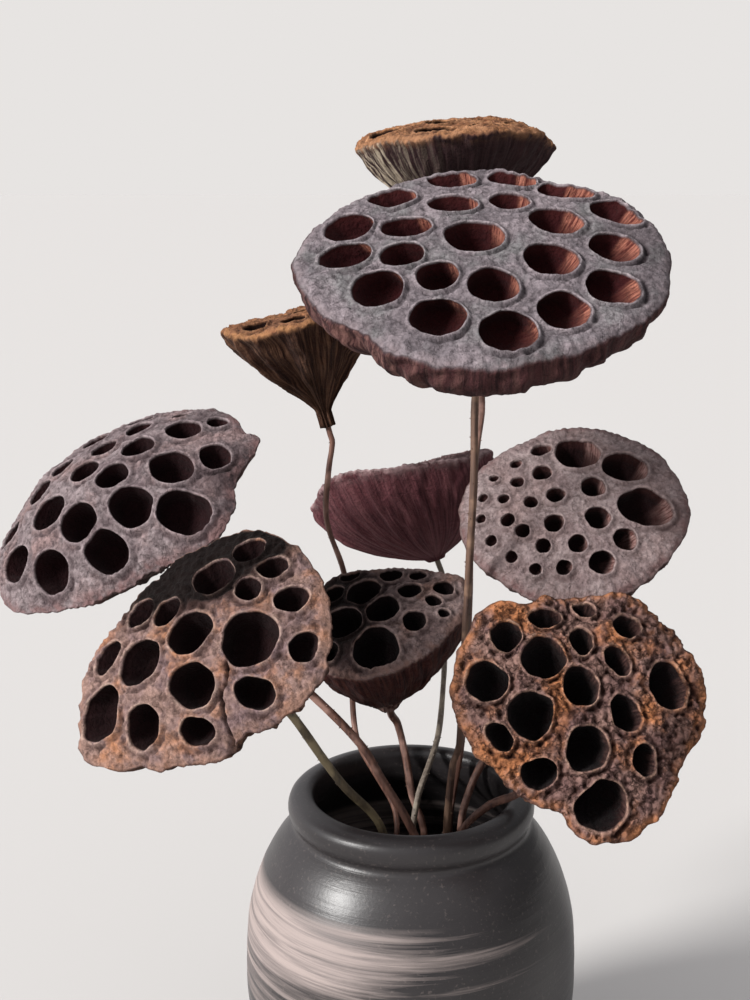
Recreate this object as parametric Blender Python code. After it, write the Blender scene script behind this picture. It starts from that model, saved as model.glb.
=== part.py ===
"""Nine dried lotus pods on their own stems, standing in a squat stoneware jar.

Run with: blender --background --python part.py
The jar stands on z = 0 with its axis on Z. Each pod is a woody receptacle: a ribbed
funnel under a leathery face, which is full of the empty cells that once held the seeds.
"""
from math import cos, pi, radians, sin

import bmesh
import bpy
from mathutils import Vector
from mathutils.geometry import interpolate_bezier

MM = 0.001

# The jar, turned on a wheel: (radius, height) in mm, up the outside and down the inside
JAR_HEIGHT = 125
JAR_OUTSIDE = [
    (37, 0), (39, 2), (46, 18), (52, 36), (55, 54), (55.5, 66), (54.5, 82), (53, 91),
    (50, 100), (46, 108), (41.5, 114), (39, 116.5), (40, 119), (40.3, 122),
]
JAR_LIP = [(39, 124.5), (36.5, JAR_HEIGHT), (34, 124), (33, 121)]
JAR_INSIDE = [(34, 115), (40, 109), (46, 100), (49.5, 88), (50.5, 66), (47, 36), (40, 14), (35, 7), (32, 6)]
JAR_FLOOR = 6
JAR_STEPS = 40

# Pods and stems share these
SIDE_STEPS = 22
FACE_RINGS = (0.45, 0.8)
SIDE_RINGS = (0.0, 0.14, 0.32, 0.52, 0.74, 1.0)
NECK_R = 3.2
CELL_DEPTH = 13
CELL_TAPER = 0.62
CELL_HEADROOM = 3
CELLS_MEET_AT = 1.35
ROUND_CELL_R = 3
GAP = 0.35
STEM_LONGEST_STEP = 26
STEM_SHORTEST_STEP = 2
STEM_TURN_PER_STEP = 7
STEM_FLOOR = JAR_FLOOR + 1

STONEWARE = ("stoneware", (0.055, 0.052, 0.053), 0.42)
POD_GREY = ("pod_grey", (0.27, 0.20, 0.21), 0.85)
POD_BROWN = ("pod_brown", (0.24, 0.14, 0.10), 0.88)
POD_DARK = ("pod_dark", (0.11, 0.075, 0.07), 0.85)
STEM_BROWN = ("stem_brown", (0.20, 0.11, 0.07), 0.7)


def ring_of_cells(count, radius, size, start=0):
    """Cells evenly spaced on a circle of the face: (right, up, radius) in mm."""
    turns = [radians(start + 360 * i / count) for i in range(count)]
    return [(radius * cos(a), radius * sin(a), size) for a in turns]


# Each pod, in mm. centre: middle of its face. facing: degrees round from the front, and up.
# outline: the face's radius every 30 degrees, from its right side. dome: how far the face
# bulges. neck: where the stem meets it, (right, up, back) from the centre of the face.
# side: two powers that shape the funnel. cells: (right, up, radius) on the face.
PODS = {
    "top": dict(
        centre=(20, -20, 301), facing=(0, 60), dome=4, neck=(0, 0, 34), side=(1.7, 1.1),
        outline=(54, 56, 51, 52, 49, 49, 53, 53, 52, 52, 48, 53), finish=POD_GREY,
        cells=[(-8, 41, 6), (11, 41, 6), (-25, 31, 7), (-10, 26, 7), (9, 28, 6),
               (25, 34, 7), (-38, 14, 6), (-23, 14, 7.5), (-3, 7, 9.5), (22, 16, 8.5),
               (38, 23, 8), (-41, -1, 7.5), (-25, -2, 6.5), (-32, -17, 8), (-15, -13, 6.5),
               (1, -17, 7.5), (18, -5, 8.5), (38, 4, 8), (34, -16, 8.5), (-15, -32, 8.5),
               (4, -37, 8.5), (19, -27, 8)],
        stem=[(19, 0, 257), (19, -1, 232), (18, -1, 206), (17, 1, 175), (16, 4, 141),
              (14, 5, 134), (12, 4, 108), (8, 4, STEM_FLOOR)], stem_r=1.9),
    "top_behind": dict(
        centre=(15, 62, 339), facing=(-40, 84), dome=2, neck=(0, 0, 34), side=(1.6, 1.2),
        outline=(34, 33, 34, 36, 34, 32, 35, 33, 32, 33, 35, 36), finish=POD_BROWN,
        cells=ring_of_cells(9, 24, 5, 10) + ring_of_cells(3, 9, 5, 40),
        stem=[(21, 60, 280), (25, 50, 249), (23, 44, 233), (21, 36, 210), (20, 28, 169),
              (18, 22, 135), (16, 21, 121), (14, 20, 106), (15, 22, 60),
              (16, 24, STEM_FLOOR)], stem_r=1.7),
    "funnel": dict(
        centre=(-37, 45, 274), facing=(-90, 75), dome=2, neck=(0, 0, 34), side=(1.7, 2.0),
        outline=(27, 26, 28, 27, 26, 28, 27, 26, 27, 28, 27, 26), finish=POD_BROWN,
        cells=ring_of_cells(8, 18.5, 4, 0) + ring_of_cells(3, 7, 3.5, 30),
        stem=[(-28, 45, 226), (-29, 48, 207), (-23, 48, 188), (-20, 42, 168), (-20, 33, 149),
              (-18, 24, 134), (-12, 18, 125), (-5, 11, 114), (-5, 6, 103), (-10, 5, 60),
              (-14, 4, STEM_FLOOR)], stem_r=1.6),
    "back": dict(
        centre=(1, 90, 211), facing=(-113, 68), dome=3, neck=(0, 0, 31), side=(2.0, 0.85),
        outline=(33, 32, 33, 34, 33, 32, 33, 33, 32, 34, 40, 35), finish=POD_DARK,
        cells=ring_of_cells(9, 23, 5, 15) + ring_of_cells(4, 9, 4.5, 0),
        stem=[(14, 80, 168), (14, 65, 153), (12, 45, 138), (10, 33, 131), (6, 22, 124),
              (3, 16, 118), (1, 11, 109), (-4, 12, 60), (-8, 15, STEM_FLOOR)], stem_r=1.8),
    "left": dict(
        centre=(-92, 0, 222), facing=(-40, 45), dome=15, neck=(0, 0, 28), side=(1.7, 1.0),
        outline=(45, 47, 47, 41, 39, 40, 44, 48, 47, 37, 33, 31), finish=POD_GREY,
        cells=[(-15, -12, 5.5), (1, -13, 6), (17, -3, 7), (33, 2, 8.5), (21, 14, 6.5),
               (30, 24, 4), (13, 29, 5), (5, 4, 5.5), (-9, 4, 5), (5, 17, 5.5),
               (-10, 15, 4.5), (-3, 26, 4.5), (-30, -4, 5), (-38, -15, 3.5), (-26, -28, 5.5),
               (-4, -29, 5.5), (14, -18, 6), (-26, 6, 4.5), (20, 36, 2.5), (-25, 20, 4.5),
               (-12, 31, 4), (5, 35, 3)],
        stem=[(-57, 10, 179), (-30, 6, 155), (-16, 2, 141), (-10, 0, 131), (-1, -4, 117),
              (7, -4, 96), (14, -6, 55), (18, -8, STEM_FLOOR)], stem_r=1.9),
    "left_front": dict(
        centre=(-58, -56, 195), facing=(-30, 36), dome=9, neck=(2, -2, 25), side=(1.8, 1.0),
        outline=(35, 36, 38, 37, 34, 32, 36, 42, 43, 35, 31, 31), finish=POD_BROWN,
        cells=[(-26, 6, 4.5), (-15, 7, 4.5), (-4, 20, 6.5), (3, 30, 4.5), (9, 18, 3.5),
               (13, 26, 4), (22, 18, 4.5), (16, 4, 8), (30, 6, 3), (-2, 2, 6.5),
               (-17, -9, 6.5), (-31, -9, 3.5), (4, -12, 7), (21, -10, 5), (-25, -23, 6),
               (-10, -25, 4.5), (8, -24, 4.5)],
        stem=[(-38, -30, 166), (-28, -20, 146), (-22, -17, 136), (-10, -12, 119),
              (-7, -15, 96), (-8, -20, 50), (-8, -23, STEM_FLOOR)], stem_r=1.9),
    "centre": dict(
        centre=(-11, 13, 181), facing=(-25, 58), dome=5, neck=(-3, -6, 38), side=(2.4, 0.9),
        outline=(26, 31, 29, 25, 26, 29, 27, 25, 25, 25, 26, 27), finish=POD_DARK,
        cells=[(-19, 7, 3.5), (-8, 9, 5.5), (8, 12, 3.5), (18, 17, 2.5), (17, 10, 2),
               (2, 2, 5.5), (-10, -5, 6), (14, 0, 3), (5, -13, 7.5), (-2, 19, 3.5),
               (7, 21, 2)],
        stem=[(-4, 32, 137), (-1, 28, 125), (1, 23, 114), (5, 18, 103), (4, 20, 60),
              (3, 23, STEM_FLOOR)], stem_r=1.9),
    "right_back": dict(
        centre=(53, 15, 218), facing=(-10, 45), dome=4, neck=(0, -2, 28), side=(1.7, 1.1),
        outline=(37, 36, 35, 33, 31, 34, 37, 36, 33, 33, 34, 35), finish=POD_GREY,
        cells=[(0, 22, 7.5), (16, 17, 7), (23, 1, 9), (-12, 23, 3), (-20, 17, 2),
               (-11, 13, 3), (6, 8, 4), (-27, 11, 1.6), (-19, 9, 2.3), (-6, 4, 3),
               (-30, 3, 1.6), (-23, 2, 1.9), (-14, 1, 2.2), (8, -4, 4), (-30, -5, 1.6),
               (-21, -6, 2.4), (-6, -7, 3), (-26, -13, 1.9), (-16, -10, 2.5), (2, -14, 3),
               (17, -11, 3.5), (-19, -19, 2), (-9, -15, 2.4), (-11, -23, 2), (-2, -22, 2.5),
               (10, -20, 4)],
        stem=[(54, 35, 167), (39, 28, 140), (25, 20, 125), (18, 13, 108), (21, 12, 60),
              (26, 10, STEM_FLOOR)], stem_r=1.8),
    "right_front": dict(
        centre=(48, -50, 172), facing=(8, 28), dome=6, neck=(0, -3, 26), side=(1.8, 1.0),
        outline=(37, 39, 39, 35, 40, 41, 35, 29, 28, 34, 34, 31), finish=POD_BROWN,
        cells=[(-21, 25, 4.5), (-9, 29, 3.5), (1, 22, 3.5), (-11, 18, 6.5), (-27, 12, 6),
               (-1, 9, 5.5), (15, 26, 3.5), (11, 16, 3.5), (26, 8, 6), (-16, 1, 6.5),
               (11, 1, 4.5), (-26, -4, 3), (-1, -9, 6), (16, -13, 3.5), (-15, -15, 4.5),
               (2, -24, 7.5), (4, 30, 2.3)],
        stem=[(40, -20, 144), (34, -14, 132), (25, -12, 127), (15, -10, 115), (12, -13, 102),
              (12, -18, 60), (12, -24, STEM_FLOOR)], stem_r=1.8),
}


def clear_scene():
    for obj in list(bpy.data.objects):
        bpy.data.objects.remove(obj)


def material(name, colour, roughness):
    """One Principled material of that name, made the first time it is asked for."""
    made = bpy.data.materials.get(name)
    if made is None:
        made = bpy.data.materials.new(name)
        made.use_nodes = True
        shader = made.node_tree.nodes["Principled BSDF"]
        shader.inputs["Base Color"].default_value = (*colour, 1)
        shader.inputs["Roughness"].default_value = roughness
        shader.inputs["Metallic"].default_value = 0
    return made


def new_object(name, mesh, finish=None):
    obj = bpy.data.objects.new(name, mesh)
    bpy.context.scene.collection.objects.link(obj)
    if finish:
        mesh.materials.append(material(*finish))
    return obj


def mesh_from(bm, name, smooth_below=None):
    """Turns a bmesh into a mesh, faces out, shaded smooth but for sharp edges."""
    bmesh.ops.recalc_face_normals(bm, faces=bm.faces)
    mesh = bpy.data.meshes.new(name)
    bm.to_mesh(mesh)
    bm.free()
    if smooth_below:
        mesh.shade_smooth()
        mesh.set_sharp_from_angle(angle=radians(smooth_below))
    return mesh


def build_jar():
    """The jar's wall and floor, spun from one closed half section."""
    section = [(0, 0), *JAR_OUTSIDE, *JAR_LIP, *JAR_INSIDE, (0, JAR_FLOOR)]
    bm = bmesh.new()
    verts = [bm.verts.new((r * MM, 0, z * MM)) for r, z in section]
    edges = [bm.edges.new(pair) for pair in zip(verts, verts[1:])]
    bmesh.ops.spin(bm, geom=verts + edges, cent=(0, 0, 0), axis=(0, 0, 1),
                   angle=2 * pi, steps=JAR_STEPS)
    bmesh.ops.remove_doubles(bm, verts=bm.verts, dist=0.05 * MM)
    new_object("jar", mesh_from(bm, "jar", 40), STONEWARE)


def face_axes(facing):
    """(right, up, out) of a pod's face, from how far it is turned and tipped up."""
    turn, tip = (radians(x) for x in facing)
    out = Vector((sin(turn) * cos(tip), -cos(turn) * cos(tip), sin(tip)))
    right = Vector((cos(turn), sin(turn), 0))
    return right, out.cross(right), out


def pod_point(pod, right, up, out):
    """A point given from the middle of the pod's face, in metres."""
    axes = face_axes(pod["facing"])
    offset = sum((a * d for a, d in zip(axes, (right, up, out))), Vector())
    return (Vector(pod["centre"]) + offset) * MM


def outline_radius(outline, angle):
    """The face's radius at an angle, on a smooth closed curve through the outline."""
    place = (angle / (2 * pi) * len(outline)) % len(outline)
    i, t = int(place), place % 1
    a, b, c, d = (outline[(i + k) % len(outline)] for k in (-1, 0, 1, 2))
    return b + t * (c - a + t * (2 * a - 5 * b + 4 * c - d + t * (3 * (b - c) + d - a))) / 2


def pod_ring(bm, pod, share, drop, shift=0.0):
    """A ring of vertices round the pod, at a share of its outline and a depth below it."""
    neck_right, neck_up, _ = pod["neck"]
    ring = []
    for i in range(SIDE_STEPS):
        angle = 2 * pi * i / SIDE_STEPS
        r = max(outline_radius(pod["outline"], angle) * share, NECK_R)
        if shift == 1.0:
            r = NECK_R
        point = pod_point(pod, r * cos(angle) + shift * neck_right,
                          r * sin(angle) + shift * neck_up, -drop)
        ring.append(bm.verts.new(point))
    return [bm.edges.new((v, ring[(i + 1) % len(ring)])) for i, v in enumerate(ring)]


def pod_body(pod, name):
    """The pod without its cells: a domed face, the funnel below it and the neck's flat end."""
    bm = bmesh.new()
    power_in, power_out = pod["side"]
    depth = pod["neck"][2]
    rings = [pod_ring(bm, pod, share, -pod["dome"] * (1 - share ** 2)) for share in FACE_RINGS]
    for t in SIDE_RINGS:
        share = (1 - t ** power_in) ** power_out
        rings.append(pod_ring(bm, pod, share, depth * t, t ** 2))
    for one, two in zip(rings, rings[1:]):
        bmesh.ops.bridge_loops(bm, edges=one + two)
    bmesh.ops.edgeloop_fill(bm, edges=rings[-1])
    crown = bm.verts.new(pod_point(pod, 0, 0, pod["dome"]))
    for edge in rings[0]:
        bm.faces.new((*edge.verts, crown))
    return mesh_from(bm, name, 50)


def cell_cutters(pod, name):
    """A tapered well for each seed, leaning in to where the wells would meet."""
    bm = bmesh.new()
    mean_r = sum(pod["outline"]) / len(pod["outline"])
    neck_right, neck_up, depth = pod["neck"]
    meet = pod_point(pod, neck_right, neck_up, -depth * CELLS_MEET_AT)
    for right, up, r in pod["cells"]:
        rise = pod["dome"] * (1 - (right ** 2 + up ** 2) / mean_r ** 2)
        mouth = pod_point(pod, right, up, rise)
        down = (meet - mouth).normalized()
        deep = min(CELL_DEPTH, 2.4 * r)
        bm_cone = bmesh.ops.create_cone(
            bm, cap_ends=True, segments=8 if r > ROUND_CELL_R else 6,
            radius1=r * CELL_TAPER * MM, radius2=r * (1 + 0.1 * CELL_HEADROOM / r) * MM,
            depth=(deep + CELL_HEADROOM) * MM)
        turn = (-down).to_track_quat("Z", "Y").to_matrix()
        middle = mouth + down * (deep - CELL_HEADROOM) / 2 * MM
        for vert in bm_cone["verts"]:
            vert.co = turn @ vert.co + middle
    cutter = new_object(name, mesh_from(bm, name))
    cutter.hide_render = True
    cutter.display_type = "WIRE"
    return cutter


def build_pod(key, pod):
    obj = new_object(f"pod_{key}", pod_body(pod, f"pod_{key}"), pod["finish"])
    cut = obj.modifiers.new("cells", "BOOLEAN")
    cut.operation = "DIFFERENCE"
    cut.object = cell_cutters(pod, f"cells_{key}")


def smooth_route(points):
    """A smooth curve through the points, with more steps where it bends."""
    ends = [points[0] * 2 - points[1], *points, points[-1] * 2 - points[-2]]
    fine = []
    for a, b, c, d in zip(ends, ends[1:], ends[2:], ends[3:]):
        third = (c - b).length / 3
        leave, arrive = (c - a).normalized() * third, (d - b).normalized() * third
        fine += interpolate_bezier(b, b + leave, c - arrive, c, 13)[:-1]
    route, heading = [fine[0]], fine[1] - fine[0]
    for here, ahead in zip(fine[1:], fine[2:] + [points[-1]]):
        gone = (here - route[-1]).length
        turned = heading.angle(ahead - here) > radians(STEM_TURN_PER_STEP)
        if turned and gone > STEM_SHORTEST_STEP * MM or gone > STEM_LONGEST_STEP * MM:
            route.append(here)
            heading = ahead - here
    return [*route, points[-1]]


def build_stem(key, pod):
    """A thin dry stem, from just under the pod's neck down into the jar."""
    neck_right, neck_up, depth = pod["neck"]
    joint = [pod_point(pod, neck_right, neck_up, -depth - d) for d in (GAP, 3, 6)]
    route = smooth_route(joint + [Vector(p) * MM for p in pod["stem"]])
    curve = bpy.data.curves.new(f"stem_{key}", "CURVE")
    curve.dimensions = "3D"
    curve.bevel_depth = pod["stem_r"] * MM
    curve.bevel_resolution = 2
    curve.use_fill_caps = True
    spline = curve.splines.new("POLY")
    spline.points.add(len(route) - 1)
    for place, point in zip(spline.points, route):
        place.co = (*point, 1)
    new_object(f"stem_{key}", curve, STEM_BROWN)


clear_scene()
build_jar()
for pod_key, pod_spec in PODS.items():
    build_pod(pod_key, pod_spec)
    build_stem(pod_key, pod_spec)
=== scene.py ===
from math import cos, hypot, pi, radians, sin

import bmesh
import bpy
import numpy as np
from mathutils import Euler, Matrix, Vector, noise
from mathutils.geometry import delaunay_2d_cdt, interpolate_bezier


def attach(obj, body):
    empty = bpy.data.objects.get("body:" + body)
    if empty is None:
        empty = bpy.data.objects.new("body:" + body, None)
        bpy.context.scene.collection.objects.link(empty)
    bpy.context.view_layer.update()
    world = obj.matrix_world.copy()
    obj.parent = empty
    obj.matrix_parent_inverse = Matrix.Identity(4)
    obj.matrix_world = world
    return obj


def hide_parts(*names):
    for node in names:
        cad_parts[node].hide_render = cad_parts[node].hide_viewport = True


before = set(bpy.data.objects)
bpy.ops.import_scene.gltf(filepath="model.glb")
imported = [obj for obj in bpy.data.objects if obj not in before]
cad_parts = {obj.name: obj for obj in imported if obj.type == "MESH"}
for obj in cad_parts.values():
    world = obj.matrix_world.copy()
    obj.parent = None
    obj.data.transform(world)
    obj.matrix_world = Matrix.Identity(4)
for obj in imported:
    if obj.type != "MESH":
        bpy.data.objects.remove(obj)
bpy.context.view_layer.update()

MM = 0.001

# ------------------------------------------------------------------------------------
# The jar. Squat stoneware, thrown on a wheel and fired dark in a smoky kiln, with a
# rolled lip. The potter brushed a pale slip round one shoulder and left the rest bare.

# Half of its section, as (radius, height), up the outside, over the lip and down again
JAR_SECTION_MM = [
    (0, 0), (20, 0), (34, 0), (36.5, 0.3), (38.2, 1.8), (40, 5), (46, 18), (52, 36), (55, 54),
    (55.5, 66), (54.7, 82), (53, 91), (50, 100), (46, 108), (42, 113.4), (39.6, 115.8),
    (38.9, 117.4), (39.9, 119.2), (40.6, 121.5), (40.6, 123.8), (39.6, 125.8), (37.4, 127),
    (34.6, 127.4), (32.8, 126.6), (32.2, 124), (32.4, 120), (34.6, 115), (40, 109),
    (46, 100), (49.5, 88),
    (50.5, 66), (47, 36), (40, 14), (36, 8), (31, 6), (15, 6), (0, 6),
]


def add(tree, kind, inputs=None, **settings):
    """Adds one node. A value that is a socket is linked, and any other is set."""
    node = tree.nodes.new(kind)
    for key, value in settings.items():
        setattr(node, key, value)
    for key, value in (inputs or {}).items():
        if isinstance(value, bpy.types.NodeSocket):
            tree.links.new(value, node.inputs[key])
        else:
            node.inputs[key].default_value = value
    return node


def tone(code):
    """An sRGB colour such as "#8a7b6c", as the linear colour that a socket holds."""
    parts = [int(code[i:i + 2], 16) / 255 for i in (1, 3, 5)]
    return (*[c / 12.92 if c < 0.04045 else ((c + 0.055) / 1.055) ** 2.4 for c in parts], 1)


def new_material(name):
    material = bpy.data.materials.new(name)
    material.use_nodes = True
    material.node_tree.nodes.clear()
    return material, material.node_tree


def new_geometry_tree(name, inputs):
    """A geometry node tree with named inputs: {name: (socket type, default)}."""
    tree = bpy.data.node_groups.new(name, "GeometryNodeTree")
    tree.interface.new_socket("Geometry", in_out="INPUT", socket_type="NodeSocketGeometry")
    tree.interface.new_socket("Geometry", in_out="OUTPUT", socket_type="NodeSocketGeometry")
    for key, (kind, default) in inputs.items():
        socket = tree.interface.new_socket(key, in_out="INPUT", socket_type=kind)
        if default is not None:
            socket.default_value = default
    return tree, add(tree, "NodeGroupInput")


def grown(source, tree, values, name):
    """Runs a geometry node tree on an object, and returns the result as a plain mesh."""
    modifier = source.modifiers.new("grow", "NODES")
    modifier.node_group = tree
    ids = {item.name: item.identifier for item in tree.interface.items_tree
           if item.in_out == "INPUT"}
    for key, value in values.items():
        modifier[ids[key]] = value
    bpy.context.view_layer.update()
    evaluated = source.evaluated_get(bpy.context.evaluated_depsgraph_get())
    mesh = bpy.data.meshes.new_from_object(evaluated)
    mesh.name = name
    bpy.data.objects.remove(source)
    piece = bpy.data.objects.new(name, mesh)
    bpy.context.scene.collection.objects.link(piece)
    return piece


def stoneware():
    """Smoke-fired stoneware: almost black and faintly shiny where it was rubbed, with a
    chalky pink slip dragged round the shoulder, which shows the bristles as streaks."""
    material, tree = new_material("smoke-fired stoneware")
    place = add(tree, "ShaderNodeTexCoord").outputs["Object"]
    axes = add(tree, "ShaderNodeSeparateXYZ", {"Vector": place})

    clouds = add(tree, "ShaderNodeTexNoise", {"Vector": place, "Scale": 28.0, "Detail": 4.0})
    clay = add(tree, "ShaderNodeMix", {"Factor": clouds.outputs["Fac"], "A": tone("#111011"),
                                       "B": tone("#332f30")}, data_type="RGBA")
    grit = add(tree, "ShaderNodeTexNoise", {"Vector": place, "Scale": 900.0, "Detail": 3.0})
    specks = add(tree, "ShaderNodeMapRange", {"Value": grit.outputs["Fac"], "From Min": 0.6,
                                              "From Max": 0.75, "To Max": 0.3})
    clay = add(tree, "ShaderNodeMix", {"Factor": specks.outputs["Result"],
                                       "A": clay.outputs["Result"], "B": tone("#6a605c")},
               data_type="RGBA")

    # The middle of the slip is 96 mm up, or 85.5 mm on the left, where it is 33 mm wide.
    # Elsewhere it is 15 mm wide, and it runs out on the right.
    left = add(tree, "ShaderNodeMapRange", {"Value": axes.outputs["X"], "From Min": 0.0,
                                            "From Max": -0.05}).outputs["Result"]
    middle = add(tree, "ShaderNodeMath", {0: left, 1: -0.0105, 2: 0.096}, operation="MULTIPLY_ADD")
    half = add(tree, "ShaderNodeMath", {0: left, 1: 0.009, 2: 0.0075}, operation="MULTIPLY_ADD")
    drop = add(tree, "ShaderNodeMath", {0: axes.outputs["Z"], 1: middle.outputs[0]},
               operation="SUBTRACT")
    drop = add(tree, "ShaderNodeMath", {0: drop.outputs[0], 1: half.outputs[0]},
               operation="DIVIDE")
    above = add(tree, "ShaderNodeMapRange", {"Value": drop.outputs[0], "From Min": 1.05,
                                             "From Max": 0.75}).outputs["Result"]
    below = add(tree, "ShaderNodeMapRange", {"Value": drop.outputs[0], "From Min": -2.2,
                                             "From Max": -0.2}).outputs["Result"]
    runs_out = add(tree, "ShaderNodeMapRange", {"Value": axes.outputs["X"], "From Min": 0.045,
                                                "From Max": -0.02}).outputs["Result"]
    stretch = add(tree, "ShaderNodeMapping", {"Vector": place, "Scale": (14, 14, 420)})
    bristles = add(tree, "ShaderNodeTexNoise", {"Vector": stretch.outputs["Vector"],
                                                "Scale": 1.0, "Detail": 5.0, "Roughness": 0.65,
                                                "Distortion": 0.4})
    wet = add(tree, "ShaderNodeMath", {0: below, 1: runs_out}, operation="MULTIPLY").outputs[0]
    laid = add(tree, "ShaderNodeMath", {0: wet, 1: 0.44, 2: bristles.outputs["Fac"]},
               operation="MULTIPLY_ADD").outputs[0]
    laid = add(tree, "ShaderNodeMapRange", {"Value": laid, "From Min": 0.65,
                                            "From Max": 1.0}).outputs["Result"]
    slip = add(tree, "ShaderNodeMath", {0: laid, 1: above}, operation="MULTIPLY")
    slip_shade = add(tree, "ShaderNodeMix", {"Factor": bristles.outputs["Fac"],
                                             "A": tone("#595152"), "B": tone("#a3958f")},
                     data_type="RGBA")
    colour = add(tree, "ShaderNodeMix", {"Factor": slip.outputs[0], "A": clay.outputs["Result"],
                                         "B": slip_shade.outputs["Result"]}, data_type="RGBA")
    rough = add(tree, "ShaderNodeMapRange", {"Value": slip.outputs[0], "To Min": 0.37,
                                             "To Max": 0.75})
    rings = add(tree, "ShaderNodeBump", {"Height": bristles.outputs["Fac"], "Strength": 0.35,
                                         "Distance": 0.4 * MM})
    pits = add(tree, "ShaderNodeBump", {"Height": grit.outputs["Fac"], "Strength": 0.25,
                                        "Distance": 0.15 * MM, "Normal": rings.outputs["Normal"]})
    shader = add(tree, "ShaderNodeBsdfPrincipled",
                 {"Base Color": colour.outputs["Result"], "Roughness": rough.outputs["Result"],
                  "Normal": pits.outputs["Normal"], "IOR": 1.5,
                  "Specular IOR Level": 0.42})
    add(tree, "ShaderNodeOutputMaterial", {"Surface": shader.outputs["BSDF"]})
    return material


def throwing_tree():
    """Turns a half section about Z, then presses in the ridges that fingers leave."""
    tree, given = new_geometry_tree("thrown on the wheel", {
        "Steps Around": ("NodeSocketInt", 192), "Steps Along": ("NodeSocketInt", 300),
        "Ridge Height": ("NodeSocketFloat", 0.3 * MM), "Ridges Per Metre":
        ("NodeSocketFloat", 260.0), "Wobble": ("NodeSocketFloat", 0.5 * MM),
        "Seed": ("NodeSocketFloat", 3.0), "Clay": ("NodeSocketMaterial", None)})
    curve = add(tree, "GeometryNodeMeshToCurve", {"Mesh": given.outputs["Geometry"]})
    curve = add(tree, "GeometryNodeCurveSplineType", {"Curve": curve.outputs["Curve"]},
                spline_type="CATMULL_ROM")
    sheet = add(tree, "GeometryNodeMeshGrid", {
        "Size X": 1.0, "Size Y": 1.0, "Vertices X": given.outputs["Steps Around"],
        "Vertices Y": given.outputs["Steps Along"]})
    spot = add(tree, "ShaderNodeSeparateXYZ",
               {"Vector": add(tree, "GeometryNodeInputPosition").outputs["Position"]})
    along = add(tree, "ShaderNodeMath", {0: spot.outputs["Y"], 1: 0.5}, operation="ADD")
    sample = add(tree, "GeometryNodeSampleCurve", {"Curves": curve.outputs["Curve"],
                                                   "Factor": along.outputs[0]}, mode="FACTOR")
    angle = add(tree, "ShaderNodeMath", {0: spot.outputs["X"], 1: 2 * pi}, operation="MULTIPLY")
    turned = add(tree, "ShaderNodeVectorRotate",
                 {"Vector": sample.outputs["Position"], "Angle": angle.outputs[0]},
                 rotation_type="Z_AXIS")
    turned = add(tree, "GeometryNodeSetPosition", {"Geometry": sheet.outputs["Mesh"],
                                                   "Position": turned.outputs["Vector"]})
    closed = add(tree, "GeometryNodeMergeByDistance",
                 {"Geometry": turned.outputs["Geometry"], "Distance": 0.02 * MM})
    where = add(tree, "GeometryNodeInputPosition").outputs["Position"]
    flat = add(tree, "ShaderNodeVectorMath", {0: where, 1: (0.12, 0.12, 1.0)},
               operation="MULTIPLY")
    ridges = add(tree, "ShaderNodeTexNoise",
                 {"Vector": flat.outputs["Vector"], "W": given.outputs["Seed"],
                  "Scale": given.outputs["Ridges Per Metre"], "Detail": 2.0},
                 noise_dimensions="4D")
    ridge = add(tree, "ShaderNodeMath", {0: ridges.outputs["Fac"], 1: 0.5}, operation="SUBTRACT")
    ridge = add(tree, "ShaderNodeMath", {0: ridge.outputs[0], 1: given.outputs["Ridge Height"]},
                operation="MULTIPLY")
    lumps = add(tree, "ShaderNodeTexNoise", {"Vector": where, "W": given.outputs["Seed"],
                                             "Scale": 22.0, "Detail": 1.0},
                noise_dimensions="4D")
    lump = add(tree, "ShaderNodeMath", {0: lumps.outputs["Fac"], 1: 0.5}, operation="SUBTRACT")
    lump = add(tree, "ShaderNodeMath", {0: lump.outputs[0], 1: given.outputs["Wobble"],
                                        2: ridge.outputs[0]}, operation="MULTIPLY_ADD")
    height = add(tree, "ShaderNodeSeparateXYZ", {"Vector": where}).outputs["Z"]
    off_base = add(tree, "ShaderNodeMapRange", {"Value": height, "From Min": 0.5 * MM,
                                                "From Max": 4 * MM})
    lump = add(tree, "ShaderNodeMath", {0: lump.outputs[0], 1: off_base.outputs["Result"]},
               operation="MULTIPLY")
    push = add(tree, "ShaderNodeVectorMath",
               {0: add(tree, "GeometryNodeInputNormal").outputs["Normal"],
                "Scale": lump.outputs[0]}, operation="SCALE")
    pressed = add(tree, "GeometryNodeSetPosition", {"Geometry": closed.outputs["Geometry"],
                                                    "Offset": push.outputs["Vector"]})
    smooth = add(tree, "GeometryNodeSetShadeSmooth", {"Geometry": pressed.outputs["Geometry"]})
    real = add(tree, "GeometryNodeRealizeInstances", {"Geometry": smooth.outputs["Geometry"]})
    done = add(tree, "GeometryNodeSetMaterial", {"Geometry": real.outputs["Geometry"],
                                                 "Material": given.outputs["Clay"]})
    add(tree, "NodeGroupOutput", {"Geometry": done.outputs["Geometry"]})
    return tree


def turn_jar():
    section = bpy.data.meshes.new("jar_section")
    points = [(r * MM, 0, z * MM) for r, z in JAR_SECTION_MM]
    section.from_pydata(points, [(i, i + 1) for i in range(len(points) - 1)], [])
    source = bpy.data.objects.new("jar_section", section)
    bpy.context.scene.collection.objects.link(source)
    jar = grown(source, throwing_tree(), {"Clay": stoneware()}, "jar_thrown")
    made = bmesh.new()
    made.from_mesh(jar.data)
    bmesh.ops.recalc_face_normals(made, faces=made.faces)
    made.to_mesh(jar.data)
    made.free()
    return jar


jar = turn_jar()
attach(jar, "root")
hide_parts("jar")

# ------------------------------------------------------------------------------------
# The largest pod, at the top. Like each pod it is the dried receptacle of a lotus: a
# ribbed woody funnel under a leathery face, full of the cells that once held the seeds.
# It shrank as it dried, so the face is felted and each cell stands up in a thin lip.

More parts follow.
